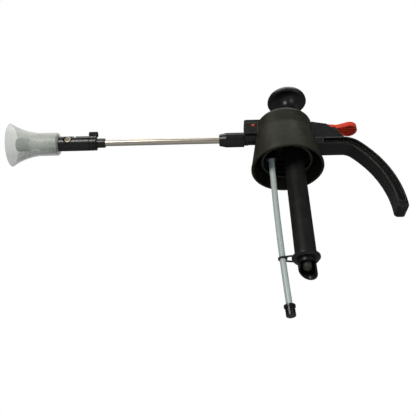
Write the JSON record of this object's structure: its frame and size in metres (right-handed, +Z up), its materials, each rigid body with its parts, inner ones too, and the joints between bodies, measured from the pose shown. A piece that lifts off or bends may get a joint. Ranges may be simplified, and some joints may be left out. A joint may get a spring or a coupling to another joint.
{
  "type": "hand-pump sprayer head",
  "caption": "Screw-on head of a hand-pumped pressure sprayer: piston air pump, dip tube, carrying handle with thumb valve, lance, tilting joint and spray nozzle in a cone shroud.",
  "frame": {"origin": "centre of the neck thread's mouth, on the axis that the cap screws round", "axes": "+Z up along the neck and pump axis towards the pump knob, +X from the cap towards the handle; the lance points to -X"},
  "size_m": [0.4756, 0.0884, 0.3181],
  "materials": {
    "cap_plastic": "satin moulded polypropylene, olive black",
    "handle_plastic": "fine grained moulded plastic, black",
    "fitting_plastic": "smooth moulded plastic, black",
    "knob_plastic": "glossy moulded plastic, black",
    "barrel_plastic": "smooth extruded tube, black",
    "natural_acetal": "natural white acetal",
    "lever_plastic": "glossy moulded plastic, orange red",
    "stainless_steel": "drawn and polished stainless steel",
    "brass": "turned brass",
    "seal_rubber": "moulded nitrile rubber, black",
    "valve_rubber": "moulded soft rubber, olive grey",
    "clear_tubing": "extruded translucent polyethylene tube",
    "strainer_gauze": "woven nylon gauze, dark grey",
    "shroud_plastic": "translucent moulded polypropylene",
    "neck_plastic": "pale grey moulded plastic",
    "nozzle_plastic": "blue grey moulded plastic"
  },
  "bodies": {
    "pump_head": {"cap_body": "cap_plastic", "neck_insert": "handle_plastic", "neck_gasket": "seal_rubber", "handle_grip": "handle_plastic", "handle_screws": "stainless_steel", "valve_box": "handle_plastic", "valve_box_lid": "handle_plastic", "pump_barrel": "barrel_plastic", "barrel_oring": "seal_rubber", "guide_bush": "knob_plastic", "rod_wiper": "seal_rubber", "tube_clip": "fitting_plastic", "valve_hood": "fitting_plastic", "valve_seat": "fitting_plastic", "check_valve": "valve_rubber", "dip_tube": "clear_tubing", "strainer_body": "fitting_plastic", "strainer_mesh": "strainer_gauze", "valve_body": "fitting_plastic", "stem_guide": "natural_acetal", "stem_oring": "seal_rubber", "valve_spring": "stainless_steel", "lever_pin": "lever_plastic", "lance_socket": "fitting_plastic", "lance_oring": "seal_rubber"},
    "pump_rod": {"piston_rod": "stainless_steel", "piston_head": "natural_acetal", "piston_cup": "seal_rubber", "piston_nut": "stainless_steel", "pump_knob": "knob_plastic", "rod_bumper": "seal_rubber"},
    "thumb_lever": {"thumb_lever": "lever_plastic"},
    "valve_stem": {"valve_stem": "natural_acetal", "seat_washer": "seal_rubber"},
    "lance_nut": {"lance_nut": "fitting_plastic"},
    "lance": {"lance_tube": "stainless_steel", "lance_olive": "brass", "tube_collet": "fitting_plastic", "joint_body_rear": "fitting_plastic", "pivot_screw": "brass", "pivot_seal": "seal_rubber"},
    "wing_screw": {"wing_screw": "fitting_plastic"},
    "nozzle_arm": {"joint_body_front": "fitting_plastic", "nozzle_neck": "neck_plastic", "swirl_core": "brass", "nozzle_oring": "seal_rubber", "spray_shroud": "shroud_plastic"},
    "nozzle_cap": {"nozzle_cap": "nozzle_plastic"}
  },
  "joints": [
    {"name": "pump_stroke", "type": "slide", "parent": "pump_head", "child": "pump_rod", "axis": [0, 0, 1], "range_m": [0, 0.095]},
    {"name": "lever_press", "type": "hinge", "parent": "pump_head", "child": "thumb_lever", "pos_m": [-0.0389, 0, 0.0527], "axis": [0, 1, 0], "range_deg": [0, 2.8], "stiffness_Nm_per_rad": 1, "springref_deg": -14.32},
    {"name": "stem_travel", "type": "slide", "parent": "pump_head", "child": "valve_stem", "axis": [0, 0, -1], "range_m": [0, 0.0011], "deforming": ["valve_spring"]},
    {"name": "lance_nut_turn", "type": "hinge", "parent": "pump_head", "child": "lance_nut", "pos_m": [-0.06, 0, 0.037], "axis": [1, 0, 0], "continuous": true},
    {"name": "lance_swivel", "type": "hinge", "parent": "pump_head", "child": "lance", "pos_m": [-0.06, 0, 0.037], "axis": [1, 0, 0], "continuous": true},
    {"name": "wing_screw_turn", "type": "hinge", "parent": "lance", "child": "wing_screw", "pos_m": [-0.242, 0, 0.037], "axis": [0, 0, 1], "range_deg": [0, 360]},
    {"name": "nozzle_tilt", "type": "hinge", "parent": "lance", "child": "nozzle_arm", "pos_m": [-0.272, 0, 0.037], "axis": [0, 1, 0], "range_deg": [-15, 85]},
    {"name": "nozzle_cap_turn", "type": "hinge", "parent": "nozzle_arm", "child": "nozzle_cap", "pos_m": [-0.33, 0, 0.037], "axis": [1, 0, 0], "range_deg": [0, 450]}
  ],
  "couplings": [
    {"joint": "stem_travel", "follows": "lever_press", "m_per_rad": 0.0202}
  ]
}
